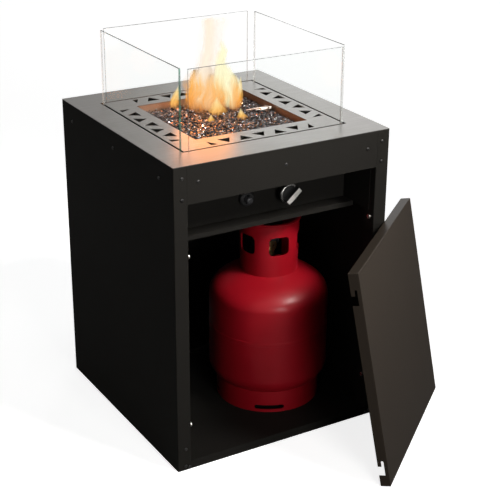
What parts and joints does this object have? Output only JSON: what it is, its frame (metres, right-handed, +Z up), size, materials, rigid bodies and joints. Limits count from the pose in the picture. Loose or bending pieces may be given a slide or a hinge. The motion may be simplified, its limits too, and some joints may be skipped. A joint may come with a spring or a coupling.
{
  "type": "outdoor gas fireplace",
  "caption": "Square sheet-steel gas fire column with a glass wind guard, a crushed-glass burner, a bottle compartment with controls, and its lift-off front panel leaning beside it.",
  "frame": {"origin": "centre of the cabinet's base, on the floor", "axes": "+Z up, -Y out of the open front, +X towards the side that the front panel leans on"},
  "size_m": [0.8049, 0.9377, 0.977],
  "materials": {
    "powder_coat": "fine satin powder coat, black",
    "top_coat": "satin powder coat, black",
    "tray_steel": "plain stainless sheet",
    "burner_steel": "stainless tube, heat tinted",
    "zinc_steel": "bright zinc plated",
    "black_screw": "blackened steel",
    "bottle_paint": "gloss red enamel",
    "brass": "machined brass",
    "cast_alloy": "die cast, as cast",
    "hose_rubber": "matt black rubber",
    "knob_black": "satin black",
    "knob_bright": "bright plated",
    "black_plastic": "moulded black",
    "clear_glass": "clear toughened, polished edges",
    "fire_glass": "crushed black glass",
    "ceramic": "white glazed"
  },
  "bodies": {
    "cabinet": {"left_side_panel": "powder_coat", "right_side_panel": "powder_coat", "back_panel": "powder_coat", "fascia": "powder_coat", "control_panel": "powder_coat", "floor_pan": "powder_coat", "top_plate": "top_coat", "insert_plate": "top_coat", "glass_channel_front": "powder_coat", "glass_channel_right": "powder_coat", "glass_channel_back": "powder_coat", "glass_channel_left": "powder_coat", "burner_tray": "tray_steel", "burner_ring": "burner_steel", "burner_feed": "burner_steel", "air_mixer": "cast_alloy", "fire_glass": "fire_glass", "pilot_bracket": "burner_steel", "thermocouple": "zinc_steel", "spark_electrode": "ceramic", "regulator": "cast_alloy", "gas_hose": "hose_rubber", "regulator_fitting": "brass", "valve_fitting": "brass", "gas_valve": "cast_alloy", "igniter_body": "black_plastic", "igniter_nut": "zinc_steel", "gas_pipe": "cast_alloy", "panel_studs": "zinc_steel", "post_screws": "black_screw", "fascia_screws": "black_screw", "side_screws": "black_screw", "back_screws": "black_screw"},
    "stem": {"valve_stem": "brass"},
    "knob": {"knob": "knob_black", "knob_ring": "knob_bright", "knob_inlay": "knob_bright"},
    "igniter_button": {"igniter_button": "black_plastic"},
    "glass_front": {"glass_front": "clear_glass"},
    "glass_right": {"glass_right": "clear_glass"},
    "glass_back": {"glass_back": "clear_glass"},
    "glass_left": {"glass_left": "clear_glass"},
    "bottle": {"bottle_shell": "bottle_paint", "foot_ring": "bottle_paint", "bottle_collar": "bottle_paint", "bottle_valve": "brass", "valve_outlet": "brass"},
    "handwheel": {"handwheel": "black_plastic"},
    "coupling_nut": {"coupling_nut": "brass", "nut_grip": "black_plastic"},
    "front_panel": {"front_panel": "powder_coat"}
  },
  "joints": [
    {"name": "knob_turn", "type": "hinge", "parent": "cabinet", "child": "stem", "pos_m": [0.076, -0.18, 0.624], "axis": [0, -1, 0], "range_deg": [-135, 45]},
    {"name": "knob_push", "type": "slide", "parent": "stem", "child": "knob", "axis": [0, 1, 0], "range_m": [0, 0.004], "stiffness_N_per_m": 1200},
    {"name": "igniter_push", "type": "slide", "parent": "cabinet", "child": "igniter_button", "axis": [0, 1, 0], "range_m": [0, 0.007], "stiffness_N_per_m": 700},
    {"name": "glass_front_lift", "type": "slide", "parent": "cabinet", "child": "glass_front", "axis": [0, 0, 1], "range_m": [0, 0.22]},
    {"name": "glass_right_lift", "type": "slide", "parent": "cabinet", "child": "glass_right", "axis": [0, 0, 1], "range_m": [0, 0.22]},
    {"name": "glass_back_lift", "type": "slide", "parent": "cabinet", "child": "glass_back", "axis": [0, 0, 1], "range_m": [0, 0.22]},
    {"name": "glass_left_lift", "type": "slide", "parent": "cabinet", "child": "glass_left", "axis": [0, 0, 1], "range_m": [0, 0.22]},
    {"name": "bottle_slide", "type": "slide", "parent": "cabinet", "child": "bottle", "axis": [-0.5, -0.866, 0], "range_m": [0, 0.45]},
    {"name": "handwheel_turn", "type": "hinge", "parent": "bottle", "child": "handwheel", "pos_m": [0.093, -0.089, 0.463], "axis": [0, 0, 1], "range_deg": [-720, 0]},
    {"name": "coupling_nut_turn", "type": "hinge", "parent": "cabinet", "child": "coupling_nut", "pos_m": [0.118, -0.0457, 0.427], "axis": [0.5, 0.866, 0], "continuous": true},
    {"name": "panel_tip", "type": "hinge", "parent": "cabinet", "child": "front_panel", "pos_m": [0.11264, -0.62637, 0.00467], "axis": [0.7701, 0.638, 0], "range_deg": [0, 100]}
  ]
}
